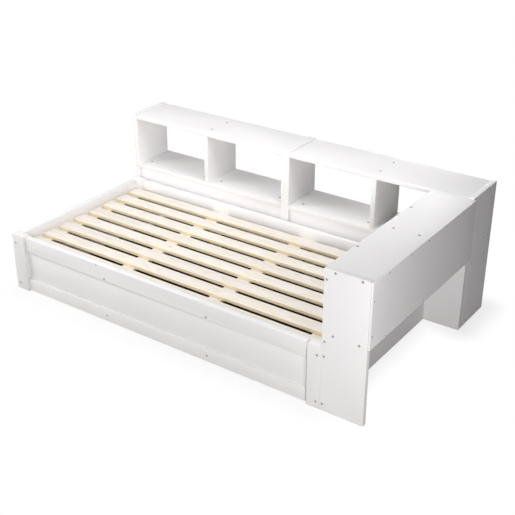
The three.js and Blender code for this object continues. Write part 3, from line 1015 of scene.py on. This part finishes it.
def seen_or_mirrored(sheet, place):
    """1 for what the camera sees straight or in a reflection, and 0 for light thrown back."""
    ray = sheet.add("ShaderNodeLightPath", (place[0] - 200, place[1]))
    return sheet.maths(place, "MAXIMUM", ray.outputs["Is Camera Ray"], ray.outputs["Is Glossy Ray"])


def pale_floor():
    """Pale floor that keeps the bed's shadow, has painted deep shade under the slats, and turns pure
    white further out, for the camera and for reflections only."""
    studio = bpy.context.scene.bed_studio
    material, sheet, links, shader = new_material("pale_floor")
    sheet.nodes.remove(shader)
    place = sheet.add("ShaderNodeTexCoord", (-1600, 0), "place on the floor")
    here = sheet.axes((-1400, 0), place.outputs["Object"])

    bed_low, bed_high = corners("front_bottom_rail")[0], corners("rear_rail")[1]
    bed_low.x, bed_high.x = corners("left_end_panel")[0].x, corners("right_end_panel")[1].x
    units_low, units_high = corners("left_unit_side_left")[0], corners("right_unit_side_right")[1]
    off_bed = metres_outside(sheet, here, bed_low, bed_high, 300)
    off_units = metres_outside(sheet, here, units_low, units_high, -100)
    off_both = sheet.maths((-100, 100), "MINIMUM", off_bed, off_units, label="metres from the boards")
    # Painted shade: under the slats and the bookcases the floor takes the dark colour below instead of
    # its own.
    inset, soft = studio.shade_inset, studio.shade_edge
    bed_in = metres_outside(sheet, here, bed_low + Vector((0, inset, 0)),
                            bed_high - Vector((inset, 0, 0)), -500)
    units_in = metres_outside(sheet, here, units_low + Vector((soft, 0, 0)),
                              Vector((bed_high.x - soft, units_high.y - soft, 0)), -900)
    open_bed = sheet.eased((50, -500), "clear of the slats", bed_in, 0.0, SHADE_RIM)
    open_units = sheet.eased((50, -900), "clear of the bookcases", units_in, 0.0, soft)
    open_floor = sheet.maths((200, 300), "MINIMUM", open_bed, open_units, label="open floor")
    fade = sheet.eased((50, 100), "fade to white", off_both, studio.shadow_start, studio.shadow_end)
    least = studio.shadow_lift
    lifted = sheet.maths((200, 100), "MULTIPLY_ADD", fade, 1 - least, least,
                         label="never darker than this")
    white_part = sheet.maths((350, 200), "MULTIPLY", lifted, open_floor)
    seen = seen_or_mirrored(sheet, (250, 600))
    share = sheet.maths((500, 400), "MULTIPLY", seen, white_part)

    colours = (("seen", studio.floor), ("thrown back", studio.floor_bounce),
               ("under the bed", studio.painted_deep_shade))
    layers = []
    for i, (label, colour) in enumerate(colours):
        matt = sheet.add("ShaderNodeBsdfDiffuse", (250, -100 - 150 * i), label)
        matt.inputs["Color"].default_value = (*colour, 1)
        layers.append(matt.outputs["BSDF"])
    plain, bounce, under = layers
    glow = sheet.add("ShaderNodeEmission", (700, -200))
    lit = sheet.blend((500, 0), seen, bounce, plain)
    shaded = sheet.blend((700, 0), open_floor, under, lit)
    floor = sheet.blend((900, 0), share, shaded, glow.outputs["Emission"])
    links.new(floor, sheet.nodes["Material Output"].inputs["Surface"])
    return material


class BED_OT_stage(Operator):
    """Lay the floor, hang the soft lamps and set the camera"""

    bl_idname = "bed.stage"
    bl_label = "Floor, lamps and camera"

    def execute(self, context):
        self.lay_floor()
        self.light_the_room(context)
        self.set_camera(context)
        context.scene.view_settings.view_transform = "Standard"
        return {"FINISHED"}

    def lay_floor(self):
        select_only()
        bpy.ops.mesh.primitive_plane_add(size=60)
        floor = bpy.context.active_object
        floor.name = "studio_floor"
        floor.data.materials.append(pale_floor())

    def light_the_room(self, context):
        studio = context.scene.bed_studio
        world = context.scene.world or bpy.data.worlds.new("studio")
        context.scene.world = world
        sheet = NodeSheet(world)
        sheet.nodes.clear()
        dark = sheet.add("ShaderNodeBackground", (0, 0), "no light from beyond", strength=0.0)
        white = sheet.add("ShaderNodeBackground", (0, -200), "white beyond the floor", strength=1.0)
        white.inputs["Color"].default_value = (1, 1, 1, 1)
        backdrop = sheet.blend((200, 0), seen_or_mirrored(sheet, (-200, 100)), dark.outputs[0],
                               white.outputs[0])
        out = sheet.add("ShaderNodeOutputWorld", (400, 0))
        sheet.links.new(backdrop, out.inputs["Surface"])
        for name, _, _, width, place, target in LAMPS:
            self.hang_lamp(name, getattr(studio, name), width, place, target)

    def hang_lamp(self, name, power, width, place, target):
        bpy.ops.object.light_add(type="AREA", location=place)
        lamp = bpy.context.active_object
        lamp.name = name
        lamp.data.energy = power
        lamp.data.size = width
        lamp.rotation_euler = (Vector(target) - Vector(place)).to_track_quat("-Z", "Y").to_euler()

    def set_camera(self, context):
        studio = context.scene.bed_studio
        bpy.ops.object.camera_add(location=studio.eye, rotation=studio.turn)
        camera = bpy.context.active_object
        camera.name = "photo_camera"
        camera.data.lens = studio.lens
        camera.data.sensor_width = 36
        camera.data.clip_end = 200
        context.scene.camera = camera


PIECES = (BED_OT_posts, BED_OT_sides, BED_OT_slat_supports, BED_OT_slats, BED_OT_bookcases,
          BED_OT_bridge, BED_OT_bolt_heads, BED_OT_joining_bolts, BED_OT_stage)


class BED_PT_panel(Panel):
    """Lists the day bed's steps and settings"""

    bl_idname = "BED_PT_panel"
    bl_label = "Corner day bed"
    bl_space_type = "VIEW_3D"
    bl_region_type = "UI"
    bl_category = "Day bed"

    def draw(self, context):
        layout = self.layout
        for name in SETTINGS:
            settings = getattr(context.scene, name)
            box = layout.box()
            for key in settings.__annotations__:
                box.prop(settings, key)
        for piece in PIECES:
            layout.operator(piece.bl_idname)


SETTINGS = {
    "bed_boards": BoardSizes,
    "bed_fasteners": FastenerSizes,
    "bed_grain": GrainSizes,
    "bed_colours": FinishColours,
    "bed_studio": StudioSettings,
}
CLASSES = (*SETTINGS.values(), *PIECES, BED_PT_panel)


def register():
    for entry in CLASSES:
        bpy.utils.register_class(entry)
    for name, group in SETTINGS.items():
        setattr(bpy.types.Scene, name, PointerProperty(type=group))


def unregister():
    for name in SETTINGS:
        delattr(bpy.types.Scene, name)
    for entry in reversed(CLASSES):
        bpy.utils.unregister_class(entry)


def main():
    register()
    for piece in PIECES:
        group, step = piece.bl_idname.split(".")
        getattr(getattr(bpy.ops, group), step)()


if __name__ == "__main__":
    main()
